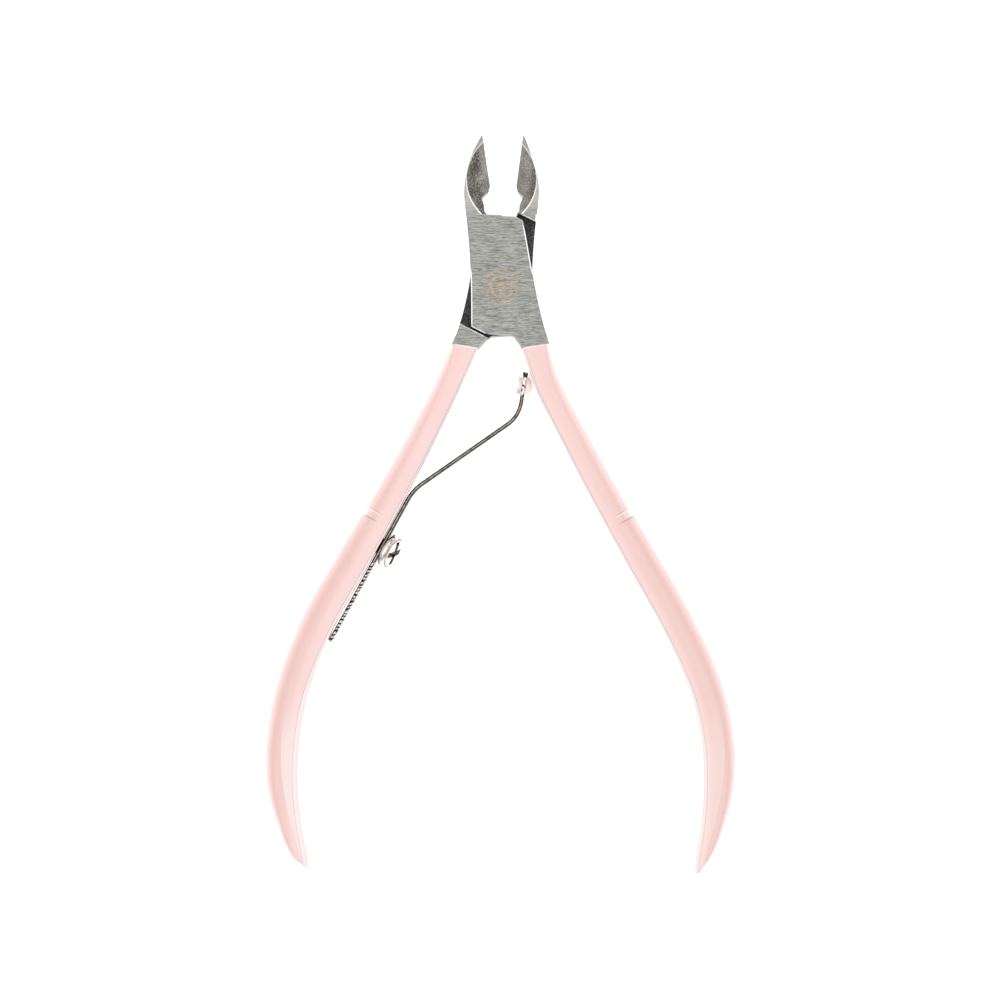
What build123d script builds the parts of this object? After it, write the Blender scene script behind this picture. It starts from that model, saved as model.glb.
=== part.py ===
"""Cuticle nipper: two lap-jointed levers on a flush rivet, a leaf spring with a nylon
glide button, and a gloss lacquer coat on both handles.

Frame, in millimetres: the origin is on the pivot axis at the joint's back face, +Y runs
towards the jaws, +X to the right and +Z out of the front face. The tool lies open at rest.
The front lever carries the left jaw and the right handle, the rear lever the other two.
"""
from build123d import *
import os
from math import cos, radians, sin

# Joint
JOINT_THICKNESS = 6.4          # both laps together
LAP_CLEARANCE = 0.04           # between the two laps' faces
CLOSE_ANGLE = 16.0             # turn of the rear lever until the cutting edges meet
EDGE_CHAMFER = 0.15            # bright broken edge round the front plate
RIVET_RADIUS = 1.45
RIVET_HEAD_RADIUS = 1.9
RIVET_HEAD_DEPTH = 1.0
RIVET_CLEARANCE = 0.04         # radial, in the rear lever, which turns on the rivet

# Jaws
CUT_HEEL = (-1.62, 13.25)      # the left cutting edge's two ends
CUT_TIP = (-2.69, 20.40)
TIP_BLUNT = 0.12               # width of the flat at a jaw's tip
EDGE_HEIGHT = 0.9              # the cutting edge's height over the back face
HOLLOW_CENTRE = (4.0, 15.9, 23.6)
HOLLOW_RADIUS = 13.35          # the hollow's plan radius, an ellipsoid of revolution
HOLLOW_STRETCH = 1.873         # its height over its radius
HOLLOW_HEEL = 8.80             # the hollow starts here, at the plate's top edge

# Handles: one row per station along the inner face of the right one, from the joint down.
# Inner edge x, inner edge y, width, depth, flat share of the front, inner corner radius, and
# how much further out the left handle lies, the two being set by hand on the real tool.
SHANK = [
    (2.85, -9.73, 3.82, 6.4, 0.84, 0.30, 0.40),
    (4.80, -15.50, 3.75, 6.1, 0.60, 0.55, 1.00),
    (8.92, -23.90, 3.95, 6.0, 0.45, 0.60, 0.98),
    (12.25, -30.40, 4.15, 6.1, 0.42, 0.60, 1.05),
    (14.27, -34.19, 4.22, 6.1, 0.42, 0.60, 1.05),
]
GRIP = [
    (14.74, -35.14, 4.55, 6.2, 0.42, 0.60, 1.05),
    (17.85, -40.70, 4.62, 6.4, 0.42, 0.60, 1.12),
    (22.50, -49.10, 4.76, 6.4, 0.44, 0.60, 1.10),
    (26.15, -57.50, 4.92, 6.3, 0.48, 0.55, 0.55),
    (27.75, -64.50, 4.95, 5.9, 0.56, 0.50, 0.28),
    (28.08, -70.50, 4.60, 5.2, 0.68, 0.45, 0.22),
    (27.72, -76.40, 3.45, 4.3, 0.72, 0.40, 0.05),
    (27.10, -80.60, 2.30, 3.4, 0.72, 0.30, -0.10),
    (26.95, -83.00, 0.80, 2.6, 0.60, 0.15, -0.10),
]
NECK_SLOPE = 0.16              # of the lacquer's upper edge across each handle
SHANK_SECTIONS = 6
GRIP_SECTIONS = 13
LEFT_SHORTER = 0.9             # the left handle's tip stops this much above the right one's
GROOVE_DEPTH = 0.36            # of the thumb groove's floor below the shank's outer face
COAT = 0.15                    # lacquer thickness
COAT_TIP = 0.25                # the steel tang stops this far short of the coated tip

# Leaf spring, on the left handle's inner face
SPRING_THICKNESS = 0.55
SPRING_WIDTH = 4.4
SPRING_LIFT = 0.03             # between the strip and the lacquer at the seat's upper end
SPRING_END_LIFT = 0.17         # and at its lower end
SPRING_OVERRUN = 1.4           # length of strip below the seat
SPRING_HOLE_RADIUS = 1.35
SPRING_BENDS = (6.60, 5.0)     # the first bend's distance above the seat, and both radii
SPRING_KNEE = (2.45, -19.20)   # the upper bend's corner
BUTTON_POINT = (3.10, -14.93)  # where the glide button's axis crosses the strip
SPRING_TOP = 1.85              # length of strip above the button's axis

# Spring screw, and the glide button
SCREW_RADIUS = 1.2
SCREW_LENGTH = 3.0
SCREW_HEAD_RADIUS = 2.5
SCREW_HEAD_HEIGHT = 1.7
SCREW_AT = 0.152               # share of the strip's seat, from its upper end
RECESS_WIDTH = 0.6
RECESS_SPAN = 2.6
RECESS_DEPTH = 0.8
BUTTON_DOME_RADIUS = 1.5
BUTTON_DOME_HEIGHT = 0.9
BUTTON_NECK_RADIUS = 0.6
BUTTON_FLANGE_RADIUS = 1.18
BUTTON_FLANGE_HEIGHT = 0.55
BUTTON_CLEARANCE = 0.04

MIDDLE = JOINT_THICKNESS / 2
FAR = 60.0                     # longer than anything it cuts


def turned(point, angle):
    """A point turned about the pivot, anticlockwise, in degrees."""
    c = cos(radians(angle))
    s = sin(radians(angle))
    return (point[0] * c - point[1] * s, point[0] * s + point[1] * c)


def mirrored(points):
    return [(-x, y) for x, y in points]


# The joint's outline, for the front lever -------------------------------------------------

def across(station, side=1):
    """Inner and outer end of a handle's first section, with the neck's slope."""
    x, y, width = station[:3]
    if side < 0:
        x += station[6]
    run_out = width / (1 + NECK_SLOPE ** 2) ** 0.5
    return (side * x, y), (side * (x + run_out), y + run_out * NECK_SLOPE)


NECK_INNER, NECK_OUTER = across(SHANK[0])
LEFT_NECK_INNER, LEFT_NECK_OUTER = across(SHANK[0], -1)
PLATE_RIGHT = [(5.05, -3.30), (4.40, 0.0), (3.30, 6.20), (2.94, 7.95)]
PLATE_TOP = [(1.75, 8.62), (-1.95, 8.75)]
NOTCH = [(-2.42, 9.30), (-2.45, 10.25), (-2.82, 11.40), (-1.85, 12.35)]
JAW_OUTER = [(-4.02, 17.85), (-5.02, 14.20), (-5.19, 11.20), (-4.85, 8.30)]
JAW_END = (0.12, -1.0)         # direction of the outline where the jaw runs into the plate
PLATE_LEFT = [(-4.32, 1.75), (-4.20, -3.60), (-4.20, -6.80)]
PLATE_BOTTOM = [(-2.40, -7.72), (1.35, -7.90)]
BOTTOM_CORNER = (2.25, -8.55)
SHOULDERS = [(-8.0, 6.19), (3.0, 11.55), (9.0, -4.70), (-6.0, -12.37)]


def front_outline():
    """Closed outline of the front lever's jaw, plate and neck."""
    tip_inner = CUT_TIP
    tip_outer = (CUT_TIP[0] - TIP_BLUNT, CUT_TIP[1] - TIP_BLUNT / 2)
    return make_face([
        Line(NECK_INNER, NECK_OUTER),
        Spline([NECK_OUTER, *PLATE_RIGHT]),
        Polyline([PLATE_RIGHT[-1], *PLATE_TOP]),
        Polyline([PLATE_TOP[-1], *NOTCH, CUT_HEEL]),
        Polyline([CUT_HEEL, tip_inner, tip_outer]),
        Spline([tip_outer, *JAW_OUTER], tangents=[(-0.45, -0.9), JAW_END]),
        Spline([JAW_OUTER[-1], *PLATE_LEFT], tangents=[JAW_END, (0, -1)]),
        Polyline([PLATE_LEFT[-1], *PLATE_BOTTOM]),
        Spline([PLATE_BOTTOM[-1], BOTTOM_CORNER, NECK_INNER]),
    ])


def rear_outline():
    """The rear lever's outline: the mirror image, with its edge turned off the front one."""
    heel = turned(CUT_HEEL, -CLOSE_ANGLE)
    tip = turned(CUT_TIP, -CLOSE_ANGLE)
    tip_outer = (tip[0] + TIP_BLUNT, tip[1] - TIP_BLUNT / 2)
    notch = [(2.45, 9.30), (2.55, 10.25), (3.02, 11.50), (2.28, 12.40)]
    return make_face([
        Line(LEFT_NECK_INNER, LEFT_NECK_OUTER),
        Spline([LEFT_NECK_OUTER, *mirrored(PLATE_RIGHT)]),
        Polyline(mirrored([PLATE_RIGHT[-1], *PLATE_TOP])),
        Polyline([*mirrored(PLATE_TOP[-1:]), *notch, heel]),
        Polyline([heel, tip, tip_outer]),
        Spline([tip_outer, *mirrored(JAW_OUTER)], tangents=mirrored([(-0.45, -0.9), JAW_END])),
        Spline(mirrored([JAW_OUTER[-1], *PLATE_LEFT]), tangents=mirrored([JAW_END, (0, -1)])),
        Polyline(mirrored([PLATE_LEFT[-1], *PLATE_BOTTOM])),
        Spline([*mirrored([PLATE_BOTTOM[-1], BOTTOM_CORNER]), LEFT_NECK_INNER]),
    ])


def lap_pocket(points, side):
    """What a lever gives up between its shoulders for the other's plate, with broken edges.

    side is 1 for the front lever, whose pocket is in its back, and -1 for the rear lever.
    """
    face = make_face(Polyline([*points, points[0]]))
    depth = MIDDLE + LAP_CLEARANCE / 2
    flare = Pos(0, 0, depth - EDGE_CHAMFER) * extrude(face, EDGE_CHAMFER + 0.1, taper=-45)
    cut = extrude(face, depth + 1) + flare
    if side > 0:
        return Pos(0, 0, depth) * mirror(cut, about=Plane.XY)
    return Pos(0, 0, JOINT_THICKNESS - depth) * cut


def jaw_profile():
    """Side outline of both jaws, everything above and below it being ground away."""
    front = [(8.7, JOINT_THICKNESS), (12.5, 5.65), (16.8, 3.85), (20.6, 2.1)]
    back = [(20.6, 0.75), (16.0, 0.25), (10.5, 0.0)]
    side = make_face([
        Spline([(front[0][0], front[0][1]), *front[1:]]),
        Line(front[-1], back[0]),
        Spline(back),
        Polyline([back[-1], (-FAR, 0.0), (-FAR, JOINT_THICKNESS), front[0]]),
    ])
    return extrude(Plane.YZ * side, amount=FAR / 2, both=True)


def ground_hollow(side):
    """The spoon-shaped hollow behind a cutting edge; side is -1 for the left jaw."""
    x, y, z = HOLLOW_CENTRE
    stone = scale(Sphere(HOLLOW_RADIUS), by=(1, 1, HOLLOW_STRETCH))
    jaw_only = Pos(side * 5, HOLLOW_HEEL, 0) * Box(
        10, 20, FAR, align=(Align.CENTER, Align.MIN, Align.CENTER))
    return Pos(-side * x, y, z) * stone & jaw_only


def back_bevel(heel, tip, side):
    """The slab below the slope that runs from a jaw's back up to its cutting edge."""
    along = Vector(tip[0] - heel[0], tip[1] - heel[1], 0).normalized()
    outwards = Vector(side * 3.4, 0.0, -EDGE_HEIGHT)
    normal = along.cross(outwards).normalized()
    if normal.Z > 0:
        normal = -normal
    plane = Plane(origin=(heel[0], heel[1], EDGE_HEIGHT), x_dir=along, z_dir=normal)
    return plane * Box(24, 24, 6, align=(Align.CENTER, Align.CENTER, Align.MIN))


# The handles ------------------------------------------------------------------------------

def eased(rows, count):
    """The rows' smooth curve, read off at count + 1 rows evenly spaced along the handle."""
    at = [0.0]
    for one, two in zip(rows, rows[1:]):
        at.append(at[-1] + ((two[0] - one[0]) ** 2 + (two[1] - one[1]) ** 2) ** 0.5)
    last = len(rows) - 1

    def slope(i, column):
        low, high = max(i - 1, 0), min(i + 1, last)
        return (rows[high][column] - rows[low][column]) / (at[high] - at[low])

    def value(place, column):
        i = max(k for k in range(last) if at[k] <= place)
        span = at[i + 1] - at[i]
        u = (place - at[i]) / span
        return (
            rows[i][column] * (1 + 2 * u) * (1 - u) ** 2
            + rows[i + 1][column] * (3 - 2 * u) * u ** 2
            + slope(i, column) * span * u * (1 - u) ** 2
            - slope(i + 1, column) * span * (1 - u) * u ** 2
        )

    return [tuple(value(at[-1] * k / count, column) for column in range(len(rows[0])))
            for k in range(count + 1)]


def section(station, direction, inset, side):
    """D-shaped section: flat inner face, rounded corners, flat front and back, round outside."""
    x, y, width, depth, flat, corner, further_out = station
    if side < 0:
        x += further_out
    direction = Vector(*direction).normalized()
    outwards = Vector(-direction.Y, direction.X, 0)
    low = inset
    high = width - inset
    half = depth / 2 - inset
    radius = max(corner - inset, 0.06)
    shoulder = low + radius + (high - low - radius) * flat
    shape = make_face([
        Line((low, radius - half), (low, half - radius)),
        RadiusArc((low, half - radius), (low + radius, half), radius),
        Line((low + radius, half), (shoulder, half)),
        ThreePointArc((shoulder, half), (high, 0), (shoulder, -half)),
        Line((shoulder, -half), (low + radius, -half)),
        RadiusArc((low + radius, -half), (low, radius - half), radius),
    ])
    plane = Plane(origin=(x, y, MIDDLE), x_dir=outwards, z_dir=direction)
    face = plane * shape
    if side < 0:
        face = mirror(face, about=Plane.YZ)
    return face


def run(stations, before, after, inset, side):
    """Loft through the stations; before and after are the rows beyond its two ends."""
    route = [before or stations[0], *stations, after or stations[-1]]
    faces = []
    for previous, station, following in zip(route, stations, route[2:]):
        shift = (following[6] - previous[6]) if side < 0 else 0.0
        direction = (following[0] - previous[0] + shift, following[1] - previous[1], 0)
        if before is None and station is stations[0]:
            direction = (NECK_SLOPE, -1, 0)
        faces.append(section(station, direction, inset, side))
    return loft(faces)


def with_width(row, width):
    return (*row[:2], width, *row[3:])


def handle(side, inset=0.0):
    """One handle: shank, thumb groove and grip, drawn in by inset on every side."""
    shank_rows = eased(SHANK, SHANK_SECTIONS)
    tip = list(GRIP[-1])
    tip[1] += (COAT_TIP if inset else 0.0) + (LEFT_SHORTER if side < 0 else 0.0)
    grip_rows = eased([*GRIP[:-1], tuple(tip)], GRIP_SECTIONS)
    floor = SHANK[-1][2] - GROOVE_DEPTH
    groove_rows = [with_width(SHANK[-1], floor + GROOVE_DEPTH / 2), with_width(GRIP[0], floor)]
    shank = run(shank_rows, None, GRIP[0], inset, side)
    groove = run(groove_rows, shank_rows[-2], grip_rows[1], inset, side)
    grip = run(grip_rows, SHANK[-1], None, inset, side)
    return shank + groove + grip


# The levers -------------------------------------------------------------------------------

def rivet_hole(clearance):
    """The rivet's shape in a lever, grown by the clearance."""
    radius = RIVET_RADIUS + clearance
    head = RIVET_HEAD_RADIUS + clearance
    shank = Pos(0, 0, -1) * extrude(Circle(radius), JOINT_THICKNESS + 2)
    cone = Cone(radius, head, RIVET_HEAD_DEPTH, align=(Align.CENTER, Align.CENTER, Align.MIN))
    front = Pos(0, 0, JOINT_THICKNESS - RIVET_HEAD_DEPTH) * cone
    back = Pos(0, 0, RIVET_HEAD_DEPTH) * Rot(180, 0, 0) * cone
    return shank + front + back


def is_plate_rim(edge):
    """True for the plate's own rims, not for the jaw's or the hollow corner at the neck."""
    return max(v.Y for v in edge.vertices()) < 8.8 and edge.center().Y > -7.5


def lever(outline, pocket, heel, tip, side):
    """Forged lever: jaw, half-thick plate and neck, with the bare tang of its handle."""
    blank = extrude(outline, JOINT_THICKNESS)
    faces = blank.faces().sort_by(Axis.Z)
    rims = [edge for edge in faces[0].edges() + faces[-1].edges() if is_plate_rim(edge)]
    blank = chamfer(rims, EDGE_CHAMFER) & jaw_profile()
    blank -= pocket
    blank -= ground_hollow(side)
    blank -= back_bevel(heel, tip, side) & Pos(side * 4, 16, 0) * Box(8.4, 9.6, 20)
    return blank + handle(-side, COAT)


def front_lever():
    pocket = lap_pocket(SHOULDERS, 1)
    body = lever(front_outline(), pocket, CUT_HEEL, CUT_TIP, -1)
    return body - rivet_hole(0.0)


def rear_lever():
    pocket = lap_pocket(mirrored(SHOULDERS), -1)
    heel = turned(CUT_HEEL, -CLOSE_ANGLE)
    tip = turned(CUT_TIP, -CLOSE_ANGLE)
    body = lever(rear_outline(), pocket, heel, tip, 1)
    return body - rivet_hole(RIVET_CLEARANCE) - screw_hole(SCREW_RADIUS)


def handle_coat(side):
    """Lacquer coat over one tang."""
    return handle(side) - handle(side, COAT)


def pivot_rivet():
    """Rivet peened and ground flush at both faces of the joint."""
    blank = extrude(Circle(RIVET_HEAD_RADIUS + 1), JOINT_THICKNESS)
    return blank & rivet_hole(0.0)


# The spring and what holds it -------------------------------------------------------------

def seat_line():
    """Upper and lower end of the strip's middle line where it lies on the left handle."""
    half = SPRING_THICKNESS / 2
    upper = Vector(-GRIP[0][0] - GRIP[0][6], GRIP[0][1])
    lower = Vector(-GRIP[2][0] - GRIP[2][6], GRIP[2][1])
    along = (lower - upper).normalized()
    inwards = Vector(-along.Y, along.X)
    upper = upper + inwards * (SPRING_LIFT + half)
    lower = lower + inwards * (SPRING_END_LIFT + half) + along * SPRING_OVERRUN
    along = (lower - upper).normalized()
    return upper, lower, along, Vector(-along.Y, along.X)


def button_axis():
    """Direction across the strip's upper leg, towards the right handle."""
    leg = Vector(*BUTTON_POINT) - Vector(*SPRING_KNEE)
    leg = leg.normalized()
    return Vector(leg.Y, -leg.X, 0), leg


def spring_path():
    upper, lower, along, _ = seat_line()
    corner = upper - along * SPRING_BENDS[0]
    _, leg = button_axis()
    top = Vector(*BUTTON_POINT) + leg * SPRING_TOP
    return FilletPolyline(lower, corner, Vector(*SPRING_KNEE), top, radius=SPRING_BENDS[1])


def screw_plane():
    """Plane on the strip's inner face at the screw, its normal pointing out of the handle."""
    upper, lower, _, inwards = seat_line()
    at = upper + (lower - upper) * SCREW_AT + inwards * (SPRING_THICKNESS / 2)
    return Plane(origin=(at.X, at.Y, MIDDLE), x_dir=(0, 0, 1), z_dir=(inwards.X, inwards.Y, 0))


def screw_hole(radius):
    hole = Cylinder(radius, SCREW_LENGTH, align=(Align.CENTER, Align.CENTER, Align.MAX))
    return screw_plane() * hole


def leaf_spring():
    """Flat strip on edge, from the seat on the handle to the glide button."""
    strip = trace(spring_path(), SPRING_THICKNESS)
    body = Pos(0, 0, MIDDLE - SPRING_WIDTH / 2) * extrude(strip, SPRING_WIDTH)
    neck = Cylinder(BUTTON_NECK_RADIUS + BUTTON_CLEARANCE, 4)
    return body - screw_hole(SPRING_HOLE_RADIUS) - button_plane() * neck


def spring_screw():
    """Pan-head screw with a cross recess."""
    base = Cylinder(SCREW_HEAD_RADIUS, 0.6, align=(Align.CENTER, Align.CENTER, Align.MIN))
    crown_height = SCREW_HEAD_HEIGHT - 0.6
    crown = Pos(0, 0, 0.6) * extrude(Circle(SCREW_HEAD_RADIUS), crown_height, taper=35)
    slot = Box(RECESS_SPAN, RECESS_WIDTH, RECESS_DEPTH,
               align=(Align.CENTER, Align.CENTER, Align.MAX))
    recess = Pos(0, 0, SCREW_HEAD_HEIGHT) * (slot + Rot(0, 0, 90) * slot)
    shank = Cylinder(SCREW_RADIUS, SCREW_LENGTH, align=(Align.CENTER, Align.CENTER, Align.MAX))
    return screw_plane() * (base + crown - recess + shank)


def button_plane():
    """Plane across the button's axis at the strip's middle, facing the right handle."""
    axis, _ = button_axis()
    return Plane(origin=(*BUTTON_POINT, MIDDLE), x_dir=(0, 0, 1), z_dir=axis)


def glide_button():
    """Nylon button snapped through the strip: dome outside, small flange inside."""
    half = SPRING_THICKNESS / 2 + BUTTON_CLEARANCE
    rise = BUTTON_DOME_HEIGHT
    ball = (BUTTON_DOME_RADIUS ** 2 + rise ** 2) / (2 * rise)
    above = Box(8, 8, 8, align=(Align.CENTER, Align.CENTER, Align.MIN))
    dome = Pos(0, 0, half) * (Pos(0, 0, rise - ball) * Sphere(ball) & above)
    neck = Cylinder(BUTTON_NECK_RADIUS, 2 * half + 0.2)
    flange = Cylinder(BUTTON_FLANGE_RADIUS, BUTTON_FLANGE_HEIGHT,
                      align=(Align.CENTER, Align.CENTER, Align.MAX))
    return button_plane() * (dome + neck + Pos(0, 0, -half) * flange)


NODES = {
    "front_lever": front_lever,
    "front_handle_coat": lambda: handle_coat(1),
    "rear_lever": rear_lever,
    "rear_handle_coat": lambda: handle_coat(-1) - screw_hole(SCREW_RADIUS),
    "pivot_rivet": pivot_rivet,
    "leaf_spring": leaf_spring,
    "spring_screw": spring_screw,
    "glide_button": glide_button,
}

os.makedirs("parts", exist_ok=True)
for name, build in NODES.items():
    export_step(build(), f"parts/{name}.step")
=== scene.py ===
"""Looks of the cuticle nipper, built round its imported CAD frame. Metres; +Z faces the camera."""

import math

import bmesh
import bpy
from mathutils import Matrix, Vector


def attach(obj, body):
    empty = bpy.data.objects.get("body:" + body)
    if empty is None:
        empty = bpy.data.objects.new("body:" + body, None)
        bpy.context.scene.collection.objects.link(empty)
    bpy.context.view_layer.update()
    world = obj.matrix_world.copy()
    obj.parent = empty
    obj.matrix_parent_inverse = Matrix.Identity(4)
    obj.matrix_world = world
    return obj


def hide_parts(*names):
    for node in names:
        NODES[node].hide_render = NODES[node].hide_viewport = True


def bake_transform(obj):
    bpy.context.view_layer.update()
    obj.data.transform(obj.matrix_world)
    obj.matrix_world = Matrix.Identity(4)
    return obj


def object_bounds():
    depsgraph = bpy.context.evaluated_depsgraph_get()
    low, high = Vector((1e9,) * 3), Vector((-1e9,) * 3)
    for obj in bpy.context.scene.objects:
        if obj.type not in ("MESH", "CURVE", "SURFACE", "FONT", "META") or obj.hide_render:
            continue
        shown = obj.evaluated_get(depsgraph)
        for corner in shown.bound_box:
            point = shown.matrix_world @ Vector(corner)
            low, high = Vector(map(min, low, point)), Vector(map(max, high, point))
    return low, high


MM = 0.001
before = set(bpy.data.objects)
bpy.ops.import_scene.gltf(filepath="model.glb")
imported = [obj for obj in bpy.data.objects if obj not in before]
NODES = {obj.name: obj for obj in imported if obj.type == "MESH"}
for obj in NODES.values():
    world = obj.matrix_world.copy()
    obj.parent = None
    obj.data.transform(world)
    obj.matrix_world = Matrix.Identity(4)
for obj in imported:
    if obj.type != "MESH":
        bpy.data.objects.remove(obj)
cad_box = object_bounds()

MIDDLE = 3.2                           # height of the tool's middle plane, millimetres

# The stage ----------------------------------------------------------------------------------

VIEW_CENTRE = Vector((-0.21, -30.87, MIDDLE)) * MM
VIEW_DISTANCE = 375 * MM
VIEW_WIDTH = 140 * MM
SENSOR = 36.0
FLOOR_SIZE = 4.0
FLOOR_GAP = 0.02 * MM
FLOOR_GLOW = 0.6
SKY = [(0.0, 1.2, 1.2), (0.14, 1.05, 1.05), (0.34, 0.50, 0.51),
       (0.60, 0.62, 0.63), (0.88, 1.40, 1.40), (1.0, 1.55, 1.55)]


def make_camera():
    data = bpy.data.cameras.new("camera")
    data.sensor_width = SENSOR
    data.lens = SENSOR * VIEW_DISTANCE / VIEW_WIDTH
    data.clip_start = 0.01
    data.clip_end = 10
    camera = bpy.data.objects.new("camera", data)
    camera.location = VIEW_CENTRE + Vector((0, 0, VIEW_DISTANCE))
    bpy.context.scene.collection.objects.link(camera)
    bpy.context.scene.camera = camera


def make_floor():
    low, _ = cad_box
    bpy.ops.mesh.primitive_plane_add(size=FLOOR_SIZE, location=(0, 0, low[2] - FLOOR_GAP))
    floor = bpy.context.object
    floor.name = "floor"
    material, _, shader = new_material("floor_white")
    shader.inputs["Base Color"].default_value = (0.95, 0.95, 0.95, 1)
    shader.inputs["Roughness"].default_value = 0.9
    shader.inputs["Specular IOR Level"].default_value = 0.0
    shader.inputs["Emission Color"].default_value = (1, 1, 1, 1)
    shader.inputs["Emission Strength"].default_value = FLOOR_GLOW
    floor.data.materials.append(material)


def make_world():
    """A light tent: bright overhead and at the horizon, with a dimmer belt in between."""
    world = bpy.data.worlds.new("studio")
    bpy.context.scene.world = world
    world.use_nodes = True
    tree = world.node_tree
    height = parts_of(tree, "Generated")[2]
    belt = stops(tree, height, [(at, (warm, warm, blue)) for at, warm, blue in SKY])
    tree.links.new(belt, tree.nodes["Background"].inputs["Color"])
    tree.nodes["Background"].inputs["Strength"].default_value = 1.0


# Node helpers -------------------------------------------------------------------------------

def new_material(name):
    material = bpy.data.materials.new(name)
    material.use_nodes = True
    tree = material.node_tree
    return material, tree, tree.nodes["Principled BSDF"]


def node(tree, kind, **settings):
    """A new node; a setting that starts with in_ is the value of the input so named."""
    made = tree.nodes.new(kind)
    for key, value in settings.items():
        if key.startswith("in_"):
            made.inputs[key[3:].replace("_", " ")].default_value = value
        else:
            setattr(made, key, value)
    return made


def feed(tree, socket, value):
    if isinstance(value, bpy.types.NodeSocket):
        tree.links.new(value, socket)
    else:
        socket.default_value = value


def stops(tree, factor, colours):
    """A colour ramp through (position, colour) stops."""
    ramp = node(tree, "ShaderNodeValToRGB")
    elements = ramp.color_ramp.elements
    for _ in colours[2:]:
        elements.new(0.5)
    for element, (position, colour) in zip(elements, colours):
        element.position = position
        element.color = (*colour, 1)
    tree.links.new(factor, ramp.inputs["Fac"])
    return ramp.outputs["Color"]


def calc(tree, operation, one, two=0.0):
    made = node(tree, "ShaderNodeMath", operation=operation)
    feed(tree, made.inputs[0], one)
    feed(tree, made.inputs[1], two)
    return made.outputs[0]


def product(tree, first, *others):
    for other in others:
        first = calc(tree, "MULTIPLY", first, other)
    return first


def total(tree, first, *others):
    for other in others:
        first = calc(tree, "ADD", first, other)
    return first


def largest(tree, one, two):
    return calc(tree, "MAXIMUM", one, two)


def gap(tree, one, two):
    return calc(tree, "ABSOLUTE", calc(tree, "SUBTRACT", one, two))


def edge(tree, value, start, end):
    """Rises smoothly from 0 at start to 1 at end, either way round."""
    made = node(tree, "ShaderNodeMapRange", interpolation_type="SMOOTHSTEP")
    feed(tree, made.inputs["Value"], value)
    made.inputs["From Min"].default_value = start
    made.inputs["From Max"].default_value = end
    return made.outputs["Result"]


def above(tree, value, low, soft):
    return edge(tree, value, low - soft, low + soft)


def below(tree, value, high, soft):
    return edge(tree, value, high + soft, high - soft)


def between(tree, value, low, high, soft):
    """1 where value lies between low and high, with soft edges."""
    return product(tree, above(tree, value, low, soft), below(tree, value, high, soft))


def mixed(tree, factor, one, two):
    """Colour one where factor is 0 and two where it is 1."""
    made = node(tree, "ShaderNodeMix", data_type="RGBA")
    feed(tree, made.inputs[0], factor)
    for socket, value in ((made.inputs[6], one), (made.inputs[7], two)):
        feed(tree, socket, value if isinstance(value, bpy.types.NodeSocket) else (*value, 1))
    return made.outputs[2]


def parts_of(tree, output):
    """The three parts of one of the piece's own vectors, such as "Object" or "Normal"."""
    place = node(tree, "ShaderNodeTexCoord")
    split = node(tree, "ShaderNodeSeparateXYZ")
    tree.links.new(place.outputs[output], split.inputs[0])
    return split.outputs


def in_millimetres(tree):
    return [product(tree, part, 1000.0) for part in parts_of(tree, "Object")]


def scaled_place(tree, scale):
    place = node(tree, "ShaderNodeTexCoord")
    mapping = node(tree, "ShaderNodeMapping")
    mapping.inputs["Scale"].default_value = scale
    tree.links.new(place.outputs["Object"], mapping.inputs["Vector"])
    return mapping.outputs["Vector"]


def noise(tree, grain, detail):
    """Noise whose grain is so many millimetres long along each axis."""
    made = node(tree, "ShaderNodeTexNoise", in_Scale=1.0, in_Detail=detail)
    tree.links.new(scaled_place(tree, [1000 / size for size in grain]), made.inputs["Vector"])
    return made.outputs["Fac"]


def two_tone(tree, factor, low, high, dark, light):
    return stops(tree, factor, [(low, dark), (high, light)])


def bump(tree, factor, depth):
    made = node(tree, "ShaderNodeBump", in_Strength=1.0, in_Distance=depth)
    tree.links.new(factor, made.inputs["Height"])
    return made.outputs["Normal"]


# The levers' steel --------------------------------------------------------------------------
# side is -1 for the front lever, whose jaw is on the left, and 1 for the rear one.

BRUSHED_DARK, BRUSHED_LIGHT = (0.125, 0.126, 0.116), (0.42, 0.423, 0.395)
GROUND = [(0.36, (0.05, 0.046, 0.038)), (0.5, (0.22, 0.21, 0.18)), (0.64, (0.60, 0.58, 0.53))]
# Colour of the honing along the cutting edge, also used as painted light on the right hollow.
HONED_AND_LIT = (0.60, 0.59, 0.55)
# Colour of the polished jaw band, painted lighter and pinker as a reflection of the handles.
POLISHED_PINK_SHEEN = (0.66, 0.61, 0.56)
# Colour of the painted highlights on the plates' chamfers and round the hollows.
EDGE_HIGHLIGHT = (0.93, 0.93, 0.91)
# The laps' dark scale, made darker still as painted shade in their recess.
LAP_DARK_SCALE_AND_SHADE, LAP_LIGHT_SCALE_AND_SHADE = (0.004, 0.004, 0.004), (0.13, 0.13, 0.125)

HOLLOW_CENTRE = (4.0, 15.9, 23.6)      # of the ball that each jaw's hollow is part of
HOLLOW_RADII = (13.35, 13.35, 25.0)
HOLLOW_EDGE = 1.0022                   # in shares of the ball's radius
# Band round each hollow's edge painted as a highlight line, in shares of the ball's radius.
RIM_HIGHLIGHT = (1.0032, 1.0105)
JAW_FROM = 8.85                        # above the plates' top edge
PLATE = (-9.2, 8.75)
HEEL = {-1: (-1.62, 13.25), 1: (2.10, 13.18)}      # where each cutting edge ends
ACROSS = {-1: (0.989, 0.148), 1: (-0.991, 0.130)}  # from the hollow towards that edge
LAP_HEIGHTS = {-1: (3.0, 3.5), 1: (2.9, 3.35)}
GRAIN_DEPTH = 0.012 * MM


def hollow_ball(tree, place, side):
    """Distance from the middle of the hollow's ball, in shares of its radius."""
    squares = []
    centre = (-side * HOLLOW_CENTRE[0], *HOLLOW_CENTRE[1:])
    for value, middle, radius in zip(place, centre, HOLLOW_RADII):
        away = calc(tree, "DIVIDE", calc(tree, "SUBTRACT", value, middle), radius)
        squares.append(product(tree, away, away))
    return calc(tree, "SQRT", total(tree, *squares))


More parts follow.
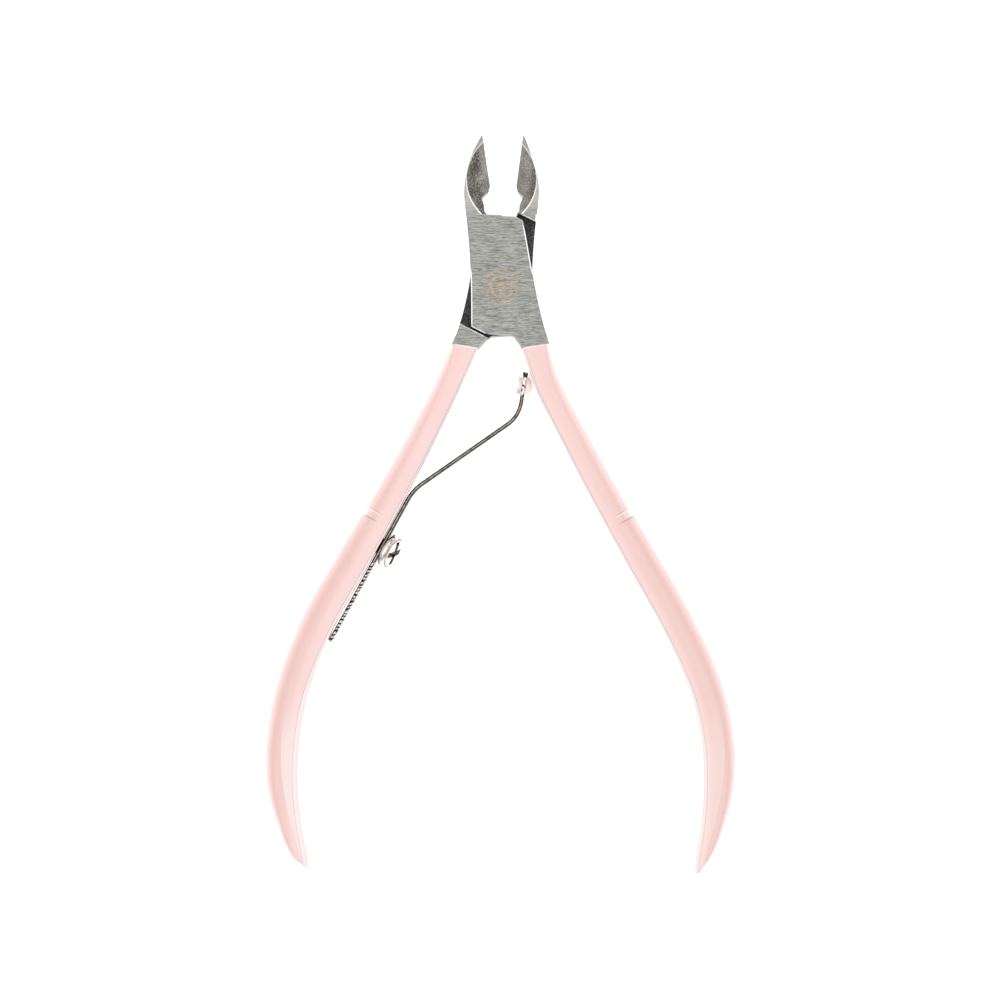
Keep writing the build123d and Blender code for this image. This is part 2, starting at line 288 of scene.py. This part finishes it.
def ground_steel(tree, place, speckle, side):
    """The hollow's coarse grinding, made lighter by honing along the cutting edge; the right
    hollow also gets painted light.
    """
    patches = noise(tree, (1.6, 2.6, 3.0), 1.0)
    grit = total(tree, product(tree, speckle, 0.7), product(tree, patches, 0.3))
    inwards = total(tree, *[
        product(tree, calc(tree, "SUBTRACT", value, heel), share)
        for value, heel, share in zip(place, HEEL[side], ACROSS[side])])
    honed_and_lit = product(tree, above(tree, inwards, -0.75, 0.22), 0.42)
    if side > 0:
        # Painted light: the right hollow is painted lighter over its inner half, where it catches
        # the light.
        honed_and_lit = largest(tree, honed_and_lit, product(tree, above(tree, inwards, -1.7, 0.7), 0.40))
    return mixed(tree, honed_and_lit, stops(tree, grit, GROUND), HONED_AND_LIT)


def painted_edge_highlights(tree, x, y, up, side):
    """The plate's chamfered edge, painted bright as a highlight; in front it is painted only where
    it stands over a dark lap.
    """
    # The chamfer faces, painted bright as a highlight.
    brink = product(tree, between(tree, up, 0.45, 0.86, 0.06), between(tree, y, *PLATE, 0.05))
    if side > 0:
        return brink
    over_lap = total(
        tree,
        product(tree, above(tree, x, 0.0, 0.05), above(tree, y, 0.8, 0.6)),
        product(tree, below(tree, x, 0.0, 0.05), below(tree, y, 1.0, 0.6)))
    return product(tree, brink, over_lap)


def lap_faces(tree, y, z, up, side):
    """The faces in the middle plane, on which the two levers slide."""
    level = between(tree, z, *LAP_HEIGHTS[side], 0.05)
    if side < 0:
        return product(tree, level, below(tree, up, -0.5, 0.05))
    return product(tree, level, above(tree, up, 0.5, 0.05), below(tree, y, JAW_FROM + 0.1, 0.03))


def lever_steel(name, side):
    """Brushed plate, laps dark with scale and painted shade, coarse ground hollows and painted
    highlights on the broken edges.
    """
    material, tree, shader = new_material(name)
    place = in_millimetres(tree)
    x, y, z = place
    up = parts_of(tree, "Normal")[2]

    streaks = noise(tree, (2.2, 0.05, 0.5), 2.0)
    fine = noise(tree, (0.6, 0.06, 0.3), 1.0)
    tone = total(tree, product(tree, streaks, 0.6), product(tree, fine, 0.4))
    brushed = two_tone(tree, tone, 0.39, 0.61, BRUSHED_DARK, BRUSHED_LIGHT)
    # Polished jaw band without brush lines, painted lighter as a pink reflection of the handles.
    polish_and_pink_sheen = product(tree, above(tree, y, 10.0, 2.2), 0.64)
    speckle = noise(tree, (0.22, 0.22, 0.22), 3.0)
    # Dark scale on the laps, with the painted shade of their recess.
    scale_and_shade = two_tone(tree, speckle, 0.42, 0.72, LAP_DARK_SCALE_AND_SHADE, LAP_LIGHT_SCALE_AND_SHADE)

    ball = hollow_ball(tree, place, side)
    jaw_top = product(tree, above(tree, y, JAW_FROM, 0.02), above(tree, up, 0.2, 0.05))
    in_hollow = product(tree, jaw_top, below(tree, ball, HOLLOW_EDGE, 0.0006))
    # The line round the hollow's edge, painted as a highlight.
    rim_highlight = product(tree, jaw_top, between(tree, ball, *RIM_HIGHLIGHT, 0.0008))
    lap = lap_faces(tree, y, z, up, side)

    colour = mixed(tree, in_hollow, mixed(tree, polish_and_pink_sheen, brushed, POLISHED_PINK_SHEEN),
                   ground_steel(tree, place, speckle, side))
    # Painted highlights round the hollow and on the plate's chamfers.
    bright = largest(tree, rim_highlight, painted_edge_highlights(tree, x, y, up, side))
    colour = mixed(tree, bright, colour, EDGE_HIGHLIGHT)
    colour = mixed(tree, lap, colour, scale_and_shade)
    feed(tree, shader.inputs["Base Color"], colour)
    feed(tree, shader.inputs["Metallic"], calc(tree, "SUBTRACT", 1.0, lap))
    dull = product(tree, largest(tree, in_hollow, lap), 0.22)
    feed(tree, shader.inputs["Roughness"], total(tree, dull, 0.36))
    lines = product(tree, streaks, calc(tree, "SUBTRACT", 1.0, in_hollow))
    pits = product(tree, speckle, in_hollow, 4.0)
    feed(tree, shader.inputs["Normal"], bump(tree, total(tree, lines, pits), GRAIN_DEPTH))
    return material


def nylon():
    """The button's milky plastic, with a painted glow that lifts it out of the shade between the
    handles.
    """
    material, tree, shader = new_material("button_nylon")
    cloud = noise(tree, (1, 1, 1), 2.0)
    colour = two_tone(tree, cloud, 0.3, 0.7, (0.88, 0.77, 0.72), (0.93, 0.83, 0.79))
    feed(tree, shader.inputs["Base Color"], colour)
    # Painted glow: the emission brightens the button where it sits in shade.
    feed(tree, shader.inputs["Emission Color"], colour)
    shader.inputs["Emission Strength"].default_value = 0.25
    shader.inputs["Roughness"].default_value = 0.3
    return material


def dress(name, material):
    """Gives a CAD node that stays in view its material."""
    slots = NODES[name].data.materials
    slots.clear()
    slots.append(material)


# Mesh helpers -------------------------------------------------------------------------------

AXIS_RADIUS = 0.02                     # a turned shape ends this close to its axis


def made_mesh(name, build, material, smooth=True):
    """An object from a bmesh that build fills, in metres."""
    mesh = bpy.data.meshes.new(name)
    shape = bmesh.new()
    build(shape)
    bmesh.ops.recalc_face_normals(shape, faces=shape.faces)
    for face in shape.faces:
        face.smooth = smooth
    shape.to_mesh(mesh)
    shape.free()
    piece = bpy.data.objects.new(name, mesh)
    piece.data.materials.append(material)
    bpy.context.scene.collection.objects.link(piece)
    return piece


def skin(shape, rings, closed_ends=True):
    """Joins closed rings of points, each the same length, into one skin."""
    rows = [[shape.verts.new(point) for point in ring] for ring in rings]
    count = len(rows[0])
    for one, two in zip(rows, rows[1:]):
        for i in range(count):
            j = (i + 1) % count
            shape.faces.new((one[i], one[j], two[j], two[i]))
    if closed_ends:
        shape.faces.new(rows[0])
        shape.faces.new(rows[-1])


def turned(profile, ground, steps):
    """Rings of the (radius, height) points in millimetres, turned round the Z axis of ground."""
    rings = []
    for radius, height in profile:
        turns = [2 * math.pi * k / steps for k in range(steps)]
        rings.append([ground @ (Vector((radius * math.cos(a), radius * math.sin(a), height)) * MM)
                      for a in turns])
    return rings


def along(origin, axis, across):
    """Matrix whose Z runs along axis and whose X is nearest to across; origin in millimetres."""
    z = Vector(axis).normalized()
    x = (Vector(across) - z * Vector(across).dot(z)).normalized()
    turn = Matrix((x, z.cross(x), z)).transposed().to_4x4()
    return Matrix.Translation(Vector(origin) * MM) @ turn


# The mark on the joint's face: a plain dot in two rings -------------------------------------

MARK_AT = (-0.08, -1.2)
MARK_RINGS = ((0.62, 0.0), (1.62, 1.28), (2.42, 2.22))     # outer and inner radius of each
MARK_ROOT, MARK_FACE = 6.36, 6.414


def rose_gold():
    material, tree, shader = new_material("mark_rose_gold")
    cloud = noise(tree, (0.6, 0.08, 0.3), 2.0)
    colour = two_tone(tree, cloud, 0.38, 0.62, (0.27, 0.20, 0.14), (0.50, 0.37, 0.27))
    feed(tree, shader.inputs["Base Color"], colour)
    shader.inputs["Metallic"].default_value = 1.0
    shader.inputs["Roughness"].default_value = 0.4
    return material


def joint_mark():
    ground = Matrix.Translation(Vector((*MARK_AT, 0)) * MM)

    def build(shape):
        for outer, inner in MARK_RINGS:
            profile = [(outer, MARK_ROOT), (outer, MARK_FACE)]
            if inner:
                profile += [(inner, MARK_FACE), (inner, MARK_ROOT)]
                rings = turned(profile, ground, 72)
                skin(shape, rings + rings[:1], closed_ends=False)
            else:
                skin(shape, turned(profile + [(AXIS_RADIUS, MARK_FACE)], ground, 72))
    mark = made_mesh("joint_mark", build, rose_gold(), smooth=False)
    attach(mark, "front_lever")


# The handles --------------------------------------------------------------------------------
# side is 1 for the right handle and -1 for the left one. u is the distance from a handle's
# inner face and s the distance down the handle, both in millimetres.

# Inner edge x and y, width, depth, flat share of the front and corner radius, on the right
# handle from the joint down; the last number is how much further out the left one lies.
HANDLE = [
    (2.85, -9.73, 3.82, 6.4, 0.80, 0.30, 0.40),
    (4.80, -15.50, 3.75, 6.1, 0.50, 0.45, 1.00),
    (8.92, -23.90, 3.95, 6.0, 0.33, 0.50, 0.98),
    (12.25, -30.40, 4.15, 6.1, 0.30, 0.50, 1.05),
    (14.30, -34.20, 4.27, 6.15, 0.30, 0.50, 1.05),
    (17.85, -40.70, 4.62, 6.4, 0.32, 0.50, 1.12),
    (22.50, -49.10, 4.76, 6.4, 0.34, 0.50, 1.10),
    (26.15, -57.50, 4.92, 6.3, 0.38, 0.50, 0.55),
    (27.75, -64.50, 4.95, 5.9, 0.44, 0.45, 0.28),
    (28.08, -70.50, 4.60, 5.2, 0.57, 0.40, 0.22),
    (27.72, -76.40, 3.45, 4.3, 0.65, 0.35, 0.05),
    (27.10, -80.60, 2.30, 3.4, 0.65, 0.28, -0.10),
    (26.95, -83.00, 0.80, 2.6, 0.60, 0.15, -0.10),
]
LEFT_SHORTER = 0.9
NECK_SLOPE = 0.16
NECK_LENGTH = 3.0                      # over which the handle turns into its own direction
RING_STEP = 0.6
GROOVE = {1: 28.12, -1: 28.02}         # s of the groove's lower edge
GROOVE_LENGTH = 1.30
GROOVE_DEPTH = 0.36
GRIP_PROUD = 0.12                      # the grip's outer face stands out below the groove
GRIP_FADE = 6.0                        # over which that fades out
BEAD_LENGTH = 0.22                     # the lacquer's pale top edge

CORNER_HIGHLIGHT_WIDTH = 0.30                     # the painted highlight along the inner corner
CORNER_HIGHLIGHT_GAIN = {1: 0.25, -1: 0.50}       # how much wider it is down the grip
SHADE_BAND_FROM = {1: 1.2, -1: 1.9}          # u of the stripe of painted shade on the rounded outer half
SHADE_BAND_TO = 4.35
CREST = {1: 3.25, -1: 2.6}             # u of the grip's outer crease
FACET_HIGHLIGHT = {1: 0.35, -1: 0.7}             # how strong the painted highlight on the facet inside that crease is

PINK_DARK, PINK_LIGHT = (0.94, 0.645, 0.61), (0.955, 0.67, 0.635)
# Painted shade on the handles' rounded outer half.
PINK_PAINTED_SHADE = (0.85, 0.55, 0.505)
# Painted highlight on the grip's facet.
PINK_FACET_HIGHLIGHT = (0.96, 0.80, 0.76)
# Painted highlight on the inner corner.
PINK_CORNER_HIGHLIGHT = (0.96, 0.88, 0.86)
PINK_GLINT = (0.97, 0.92, 0.90)
PINK_BEAD = (0.96, 0.90, 0.88)
# Painted shade lines: at the corner highlight's edge, along the crease and along the groove's
# edges.
CORNER_SHADE_LINE = (0.45, 0.36, 0.35)
CREST_SHADE_LINE = (0.72, 0.45, 0.42)
GROOVE_SHADE = (0.28, 0.24, 0.23)


def smooth_rows(rows, at, place):
    """All columns of the rows' smooth curve at one distance down the handle."""
    last = len(rows) - 1
    i = max(k for k in range(last) if at[k] <= place + 1e-9)
    span = at[i + 1] - at[i]
    u = (place - at[i]) / span
    values = []
    for column in range(len(rows[0])):
        def slope(k):
            low, high = max(k - 1, 0), min(k + 1, last)
            return (rows[high][column] - rows[low][column]) / (at[high] - at[low])
        values.append(rows[i][column] * (1 + 2 * u) * (1 - u) ** 2
                      + rows[i + 1][column] * (3 - 2 * u) * u ** 2
                      + slope(i) * span * u * (1 - u) ** 2
                      - slope(i + 1) * span * (1 - u) * u ** 2)
    return values


def groove_cut(place, side):
    """What the groove takes off the width at a distance down the handle."""
    past = place - GROOVE[side]
    if past >= 0:
        return -GRIP_PROUD * math.exp(-past / GRIP_FADE)
    if past <= -GROOVE_LENGTH:
        return 0.0
    return GROOVE_DEPTH * (0.35 + 0.65 * (past + GROOVE_LENGTH) / GROOVE_LENGTH)


def handle_ring(row, direction, cut):
    """Section points with their distance from the inner face, front corner first."""
    x, y, width, depth, flat, corner, _ = row
    half = depth / 2
    start = corner + (width - corner) * flat
    reach = width - cut - start
    front = []
    for k in range(7):
        turn = math.pi / 2 * k / 6
        front.append((corner * (1 - math.cos(turn)), half - corner * (1 - math.sin(turn))))
    for k in range(1, 4):
        front.append((corner + (start - corner) * k / 4, half))
    for k in range(15):
        turn = math.pi / 2 * k / 14
        front.append((start + reach * math.sin(turn), half * math.cos(turn) ** 0.96))
    ring = [*front, *[(u, -v) for u, v in reversed(front[:-1])]]
    outwards = Vector((-direction.y, direction.x, 0))
    return [(Vector((x, y, MIDDLE)) + outwards * u + Vector((0, 0, v)), u) for u, v in ring]


def ring_places(length, low):
    """Distances down the handle of its rings, close together at the groove's two edges."""
    high = low - GROOVE_LENGTH
    places = [0.0, 0.06, 0.16, length]
    places += [RING_STEP * k for k in range(1, int(length / RING_STEP))]
    places = [p for p in places if not high - 0.2 < p < low + 0.2]
    for brink in (high, low):
        places += [brink - 0.14, brink - 0.02, brink + 0.02, brink + 0.14]
    return sorted(places + [(low + high) / 2])


def with_grip_shading(tree, u, s, side, colour):
    """Adds a stripe of painted shade, a painted highlight on the inner corner with a painted shade
    line at its edge, and a painted highlight on the grip's facet with a painted shade line along
    its crease.
    """
    # A stripe of painted shade, stronger down the handle.
    shade_strength = total(tree, 0.30, product(tree, above(tree, s, 24.0, 14.0), 0.45))
    shade_band = product(tree, between(tree, u, SHADE_BAND_FROM[side], SHADE_BAND_TO, 0.45), shade_strength)
    colour = mixed(tree, shade_band, colour, PINK_PAINTED_SHADE)

    wider = product(tree, above(tree, s, 49.0, 9.0), CORNER_HIGHLIGHT_GAIN[side])
    width = total(tree, CORNER_HIGHLIGHT_WIDTH, wider)
    tilt = calc(tree, "ABSOLUTE", parts_of(tree, "Normal")[2])
    # Painted highlight on the inner rounded corner, with a painted shade line at its edge.
    inner = product(tree, calc(tree, "LESS_THAN", u, width), above(tree, tilt, 0.2, 0.1), 0.75)
    colour = mixed(tree, inner, colour, PINK_CORNER_HIGHLIGHT)
    line = product(tree, below(tree, gap(tree, u, width), 0.055, 0.03), 0.55)
    colour = mixed(tree, line, colour, CORNER_SHADE_LINE)

    taper = calc(tree, "SUBTRACT", 1.0, above(tree, s, 70.0, 11.0))
    crest = product(tree, total(tree, 0.35, product(tree, taper, 0.65)), CREST[side])
    # Painted highlight on the grip's facet, and painted shade along its crease.
    facet = product(tree, above(tree, s, 58.0, 5.0), calc(tree, "LESS_THAN", u, crest),
                    calc(tree, "GREATER_THAN", u, width), FACET_HIGHLIGHT[side])
    colour = mixed(tree, facet, colour, PINK_FACET_HIGHLIGHT)
    line = product(tree, below(tree, gap(tree, u, crest), 0.05, 0.04),
                   above(tree, s, 60.0, 5.0), 0.30)
    return mixed(tree, line, colour, CREST_SHADE_LINE)


def with_groove_shading(tree, u, s, side, colour):
    """Adds painted shade along the groove's two edges and the glint under the upper one."""
    low = GROOVE[side]
    high = low - GROOVE_LENGTH
    outer_part = above(tree, u, 2.0, 0.5)
    # Painted shade along the groove's two edges.
    dark = largest(tree, between(tree, s, low - 0.09, low + 0.03, 0.03),
                   product(tree, between(tree, s, high - 0.03, high + 0.07, 0.03), 0.8))
    colour = mixed(tree, product(tree, dark, outer_part, 0.62), colour, GROOVE_SHADE)
    glint = product(tree, between(tree, s, high + 0.12, high + 0.30, 0.04), outer_part, 0.8)
    return mixed(tree, glint, colour, PINK_GLINT)


def lacquered(name, side):
    """Glossy pink lacquer; the UV map holds u in units of 10 mm and s in units of 100 mm."""
    material, tree, shader = new_material(name)
    mapped = parts_of(tree, "UV")
    u = product(tree, mapped[0], 10.0)
    s = product(tree, mapped[1], 100.0)
    cloud = noise(tree, (5, 5, 5), 2.0)
    colour = two_tone(tree, cloud, 0.3, 0.7, PINK_DARK, PINK_LIGHT)
    colour = with_grip_shading(tree, u, s, side, colour)
    colour = with_groove_shading(tree, u, s, side, colour)
    bead = product(tree, below(tree, s, BEAD_LENGTH, 0.05), 0.7)
    colour = mixed(tree, bead, colour, PINK_BEAD)
    feed(tree, shader.inputs["Base Color"], colour)
    shader.inputs["Roughness"].default_value = 0.30
    shader.inputs["Coat Weight"].default_value = 1.0
    shader.inputs["Coat Roughness"].default_value = 0.04
    return material


def handle_skin(side):
    """The lacquered handle as one smooth skin, from the neck to the tip."""
    rows = [list(row) for row in HANDLE]
    if side < 0:
        rows[-1][1] += LEFT_SHORTER
        rows = [[row[0] + row[6], *row[1:]] for row in rows]
    at = [0.0]
    for one, two in zip(rows, rows[1:]):
        at.append(at[-1] + math.hypot(two[0] - one[0], two[1] - one[1]))
    length = at[-1]
    rings = []
    for place in ring_places(length, GROOVE[side]):
        before, after = (smooth_rows(rows, at, min(max(place + d, 0), length))
                         for d in (-0.4, 0.4))
        way = Vector((after[0] - before[0], after[1] - before[1], 0)).normalized()
        if place < NECK_LENGTH:
            neck = Vector((NECK_SLOPE, -1, 0)).normalized()
            way = neck.lerp(way, place / NECK_LENGTH).normalized()
        ring = handle_ring(smooth_rows(rows, at, place), way, groove_cut(place, side))
        rings.append([(Vector((side * p.x, p.y, p.z)), u, place) for p, u in ring])

    def build(shape):
        layer = shape.loops.layers.uv.new("UVMap")
        skin(shape, [[p * MM for p, _, _ in ring] for ring in rings])
        shape.verts.index_update()
        facts = [(u, place) for ring in rings for _, u, place in ring]
        for face in shape.faces:
            for loop in face.loops:
                u, place = facts[loop.vert.index]
                loop[layer].uv = (u / 10.0, place / 100.0)
    name = "right_handle_lacquer" if side > 0 else "left_handle_lacquer"
    piece = made_mesh(name, build, lacquered(name, side))
    piece.data.set_sharp_from_angle(angle=math.radians(50))
    coat, body = (("front_handle_coat", "front_lever") if side > 0
                  else ("rear_handle_coat", "rear_lever"))
    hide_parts(coat)
    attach(piece, body)


# The leaf spring ----------------------------------------------------------------------------

SEAT_END = (-23.894, -50.539)
BEND = (-12.346, -29.504)
KNEE = (2.45, -19.20)
STRIP_TOP = (3.378, -13.101)
BEND_RADII = (6.5, 4.6)
STRIP_HALF = 0.27                      # half the strip's thickness
STRIP_LOW, STRIP_HIGH = 1.0, 5.4
TIP_LENGTH = 0.42                      # the strip's end is swaged thicker
TIP_SWELL = 1.35
PATH_STEP = 0.25
FILED_BELOW = -39.6                    # y below which the strip is filed across
REFLECTIONS_ABOVE = -16.6                   # y above which the strip is painted with reflections


def rounded_path(corners, radii, step):
    """Points along a line with its inner corners rounded, with the direction at each."""
    corners = [Vector((*c, 0)) for c in corners]
    points = [corners[0]]
    for before, corner, after, radius in zip(corners, corners[1:], corners[2:], radii):
        one = (corner - before).normalized()
        two = (after - corner).normalized()
        angle = one.angle(two)
        turn = 1 if one.cross(two).z > 0 else -1
        start = corner - one * radius * math.tan(angle / 2)
        centre = start + Vector((-one.y, one.x, 0)) * turn * radius
        count = max(6, int(radius * angle / step))
        for k in range(count + 1):
            spin = Matrix.Rotation(turn * angle * k / count, 3, "Z")
            points.append(centre + spin @ (start - centre))
    points.append(corners[-1])
    dense = [points[0]]
    for one, two in zip(points, points[1:]):
        count = max(1, int((two - one).length / step))
        dense += [one.lerp(two, (k + 1) / count) for k in range(count)]
    last = len(dense) - 1
    ways = [(dense[min(k + 1, last)] - dense[max(k - 1, 0)]).normalized()
            for k in range(last + 1)]
    return list(zip(dense, ways))


def strip_steel():
    """Dark tempered strip with painted light on the crown of its top edge and painted shade on its
    rounded sides, filed across near its lower end, with painted reflections at its tip.
    """
    material, tree, shader = new_material("spring_steel")
    y = in_millimetres(tree)[1]
    grain = noise(tree, (0.5, 0.5, 2.0), 3.0)
    lit_crown = two_tone(tree, grain, 0.35, 0.65, (0.14, 0.13, 0.105), (0.34, 0.32, 0.27))
    shaded_flanks = two_tone(tree, grain, 0.35, 0.65, (0.012, 0.011, 0.009), (0.05, 0.045, 0.035))
    teeth = node(tree, "ShaderNodeTexWave", wave_type="BANDS", bands_direction="Y",
                 in_Scale=0.62, in_Distortion=5.0, in_Detail=1.0, in_Detail_Scale=2.5)
    tree.links.new(scaled_place(tree, (1000, 1000, 1000)), teeth.inputs["Vector"])
    filed = two_tone(tree, teeth.outputs["Fac"], 0.4, 0.62, (0.02, 0.018, 0.015),
                     (0.62, 0.60, 0.56))
    # Painted reflections speckling the plated tip.
    reflection_specks = noise(tree, (0.4, 0.55, 1.0), 1.0)
    bright = two_tone(tree, reflection_specks, 0.44, 0.56, (0.04, 0.035, 0.03), (0.92, 0.90, 0.87))
    # Painted light and shade: the upward crown of the top edge is lit, the rounded flanks and
    # sides are in shade.
    upwards = above(tree, parts_of(tree, "Normal")[2], 0.93, 0.04)
    colour = mixed(tree, upwards, shaded_flanks, lit_crown)
    colour = mixed(tree, below(tree, y, FILED_BELOW, 0.5), colour, filed)
    colour = mixed(tree, above(tree, y, REFLECTIONS_ABOVE, 0.25), colour, bright)
    feed(tree, shader.inputs["Base Color"], colour)
    shader.inputs["Metallic"].default_value = 1.0
    shader.inputs["Roughness"].default_value = 0.27
    return material


def spring_strip():
    """The strip with rounded long edges, rounded at its lower bend and at the knee."""
    def build(shape):
        rings = []
        path = rounded_path([SEAT_END, BEND, KNEE, STRIP_TOP], BEND_RADII, PATH_STEP)
        end = path[-1][0]
        for point, way in path:
            half = STRIP_HALF * (TIP_SWELL if (end - point).length < TIP_LENGTH else 1.0)
            sideways = Vector((-way.y, way.x, 0))
            ring = []
            for top, brink in ((1, STRIP_HIGH), (-1, STRIP_LOW)):
                for k in range(9):
                    turn = math.pi * k / 8
                    across = half * math.cos(turn) * top
                    height = brink - top * STRIP_HALF * (1 - math.sin(turn))
                    ring.append((point + sideways * across + Vector((0, 0, height))) * MM)
            rings.append(ring)
        skin(shape, rings)
    strip = made_mesh("spring_strip", build, strip_steel())
    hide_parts("leaf_spring")
    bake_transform(strip)


# The spring's screw -------------------------------------------------------------------------

SCREW_SEAT = (-16.52, -37.55, MIDDLE)  # on the strip's inner face
SCREW_OUT = (0.8766, -0.4812, 0.0)
SCREW_TILT = 19.0                      # degrees, driven a little askew
HEAD_RADIUS = 2.6
SCREW_PROFILE = [(1.2, -3.0), (1.2, 0.0), (2.25, 0.0), (2.52, 0.10), (HEAD_RADIUS, 0.35),
                 (2.54, 0.62), (2.34, 0.86), (2.0, 1.02), (1.4, 1.14), (0.6, 1.20),
                 (AXIS_RADIUS, 1.21)]
RECESS_SIZE = (3.6, 0.85, 1.3)         # of each of the cross's two bars
RECESS_HEIGHT = 1.25                   # of the bars' middle above the seat
RECESS_TURNS = (20, 110)               # degrees


def screw_chrome(base, axis):
    """Bright chrome with painted shade in its recess, round the foot of its crown and under its
    head.
    """
    material, tree, shader = new_material("screw_chrome")
    cloud = noise(tree, (0.35, 0.35, 0.35), 2.0)
    chrome = two_tone(tree, cloud, 0.4, 0.6, (0.62, 0.55, 0.49), (0.92, 0.90, 0.88))
    # The recess's colour is painted shade.
    recess = two_tone(tree, cloud, 0.46, 0.58, (0.03, 0.028, 0.02), (0.50, 0.46, 0.40))

    place = node(tree, "ShaderNodeTexCoord")
    away = node(tree, "ShaderNodeVectorMath", operation="MULTIPLY_ADD")
    tree.links.new(place.outputs["Object"], away.inputs[0])
    away.inputs[1].default_value = (1000.0, 1000.0, 1000.0)
    away.inputs[2].default_value = -base
    upright = node(tree, "ShaderNodeVectorMath", operation="DOT_PRODUCT")
    upright.inputs[1].default_value = axis
    direct = node(tree, "ShaderNodeVectorMath", operation="LENGTH")
    for measure in (upright, direct):
        tree.links.new(away.outputs[0], measure.inputs[0])
    height = upright.outputs["Value"]
    length = direct.outputs["Value"]
    squared = calc(tree, "SUBTRACT", product(tree, length, length),
                   product(tree, height, height))
    radius = calc(tree, "SQRT", largest(tree, squared, 0.0))

    # Painted shade round the crown's foot, under the head and down in the cross recess.
    crown_foot_shade = product(tree, between(tree, radius, 2.02, 2.22, 0.05), 0.8)
    colour = mixed(tree, crown_foot_shade, chrome, (0.16, 0.10, 0.06))
    seat_shade = product(tree, below(tree, height, 0.12, 0.05), 0.85)
    colour = mixed(tree, seat_shade, colour, (0.10, 0.08, 0.06))
    recess_shade = product(tree, below(tree, radius, 1.85, 0.03), between(tree, height, 0.1, 0.98, 0.03),
                   0.93)
    colour = mixed(tree, recess_shade, colour, recess)
    feed(tree, shader.inputs["Base Color"], colour)
    shader.inputs["Metallic"].default_value = 1.0
    shader.inputs["Roughness"].default_value = 0.10
    return material


def carve(piece, cutter):
    """Takes the cutter's shape out of the piece for good and removes the cutter."""
    cut = piece.modifiers.new("recess", "BOOLEAN")
    cut.operation = "DIFFERENCE"
    cut.solver = "EXACT"
    cut.use_self = True
    cut.object = cutter
    bpy.context.view_layer.update()
    shown = piece.evaluated_get(bpy.context.evaluated_depsgraph_get())
    carved = bpy.data.meshes.new_from_object(shown)
    piece.modifiers.clear()
    piece.data = carved
    bpy.data.objects.remove(cutter)


def pan_screw():
    """Pan-head screw with a cross recess, standing askew so that one side of it touches."""
    lean = math.radians(SCREW_TILT)
    out = Vector(SCREW_OUT)
    axis = out * math.cos(lean) + Vector((0, 0, math.sin(lean)))
    base = Vector(SCREW_SEAT) + out * (HEAD_RADIUS * math.sin(lean) * 0.8)
    ground = along(base, axis, (0, 0, 1))
    chrome = screw_chrome(base, axis)

    def head(shape):
        skin(shape, turned(SCREW_PROFILE, ground, 64))

    def cross(shape):
        size = Matrix.Diagonal((*(length * MM for length in RECESS_SIZE), 1))
        lift = Matrix.Translation((0, 0, RECESS_HEIGHT * MM))
        for turn in RECESS_TURNS:
            spin = Matrix.Rotation(math.radians(turn), 4, "Z")
            bmesh.ops.create_cube(shape, size=1, matrix=ground @ spin @ lift @ size)
    screw = made_mesh("pan_screw", head, chrome)
    carve(screw, made_mesh("recess_cutter", cross, chrome, smooth=False))
    screw.data.shade_smooth()
    screw.data.set_sharp_from_angle(angle=math.radians(32))
    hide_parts("spring_screw")
    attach(screw, "rear_lever")


make_camera()
make_floor()
make_world()
bpy.context.scene.view_settings.view_transform = "Standard"
dress("front_lever", lever_steel("front_steel", -1))
dress("rear_lever", lever_steel("rear_steel", 1))
dress("pivot_rivet", lever_steel("rivet_steel", -1))
dress("glide_button", nylon())
joint_mark()
for side in (1, -1):
    handle_skin(side)
spring_strip()
pan_screw()
